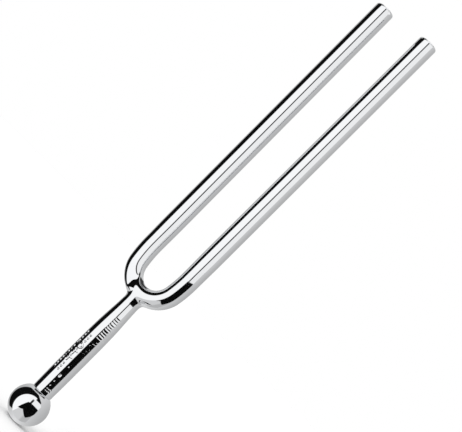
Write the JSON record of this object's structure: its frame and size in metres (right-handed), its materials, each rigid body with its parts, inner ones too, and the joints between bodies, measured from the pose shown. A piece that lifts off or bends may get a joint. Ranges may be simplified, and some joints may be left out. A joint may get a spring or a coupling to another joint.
{
  "type": "tuning fork",
  "caption": "Plated steel tuning fork: a round bar bent into a long U, a barrel-shaped stem and a ball foot, struck to sound one note.",
  "frame": {"origin": "lowest point of the ball foot, on the axis of the stem", "axes": "+Z along the stem from the ball foot to the prong tips, +X from the axis to one prong, +Y through the thickness of the fork"},
  "size_m": [0.0184, 0.0094, 0.1252],
  "materials": {
    "plated_bar": "mirror-polished nickel plate, drawn lengthwise",
    "plated_stem": "mirror-polished nickel plate with fine turning lines",
    "plated_collar": "hand-dressed and plated filler metal, slightly wavy",
    "plated_ball": "mirror-polished nickel plate"
  },
  "bodies": {
    "root": {"prong_bar": "plated_bar", "stem": "plated_stem", "neck_collar": "plated_collar", "ball_foot": "plated_ball"}
  },
  "joints": []
}
